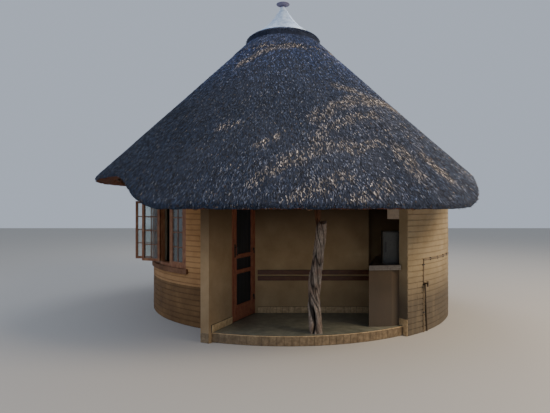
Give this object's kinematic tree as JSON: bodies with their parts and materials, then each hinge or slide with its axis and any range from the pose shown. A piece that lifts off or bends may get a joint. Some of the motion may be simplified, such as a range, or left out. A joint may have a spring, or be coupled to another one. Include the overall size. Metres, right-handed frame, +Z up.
{
  "type": "rondavel hut",
  "caption": "Round brick guest hut under a conical thatched roof, with a recessed verandah, a crooked post, a kitchen corner and a screen door that swings out.",
  "frame": {"origin": "on the ground under the point of the roof, at the centre of the round floor", "axes": "+Z up, -Y towards the open front of the verandah, +X to the right seen from the front"},
  "size_m": [7.0999, 7.5899, 6.0416],
  "materials": {
    "brick": "painted face brick",
    "plaster": "painted plaster",
    "floor": "polished cement",
    "tile": "glazed tile",
    "worktop": "polished stone",
    "thatch": "weathered grass thatch",
    "pole": "weathered poles",
    "joinery": "varnished",
    "mesh": "fine mesh",
    "glass": "clear",
    "hinge": "satin",
    "cap": "galvanised sheet",
    "finial": "weathered",
    "grey_paint": "satin",
    "white_box": "satin",
    "pipe": "painted",
    "brass": "worn"
  },
  "bodies": {
    "hut": {"back_left_wall": "brick", "back_right_wall": "brick", "back_wall": "brick", "battens": "pole", "counter_base": "plaster", "counter_edge": "tile", "counter_top": "worktop", "cupboard": "grey_paint", "dado_rail_lower": "joinery", "dado_rail_upper": "joinery", "door_frame_far_post": "joinery", "door_frame_head": "joinery", "door_frame_hinges": "hinge", "door_frame_near_post": "joinery", "finial": "finial", "front_left_wall": "brick", "garden_tap": "brass", "kitchen_end_wall": "plaster", "kitchen_outer_wall": "brick", "left_wall": "brick", "metal_cap": "cap", "meter_box": "white_box", "rafter_hub": "pole", "rafters": "pole", "right_wall": "brick", "room_floor": "floor", "skirting": "tile", "thatch": "thatch", "thatch_collar": "thatch", "verandah_back_wall": "plaster", "verandah_beam": "pole", "verandah_floor": "floor", "verandah_post": "pole", "verandah_riser": "tile", "wall_over_door": "plaster", "wall_over_window": "brick", "wall_plate": "pole", "wall_under_window": "brick", "water_pipe": "pipe", "window_far_glass": "glass", "window_far_sash": "joinery", "window_frame": "joinery", "window_middle_glass": "glass", "window_middle_sash": "joinery", "window_near_glass": "glass", "window_near_sash": "joinery", "window_sill": "tile", "wing_wall": "plaster"},
    "door": {"door_leaf": "joinery", "door_panels": "mesh", "door_leaf_hinges": "hinge", "door_handle": "hinge"}
  },
  "joints": [
    {"name": "door_swing", "type": "hinge", "parent": "hut", "child": "door", "pos_m": [-0.50721, -1.78504, 1.15], "axis": [0, 0, 1], "range_deg": [0, 90]}
  ]
}
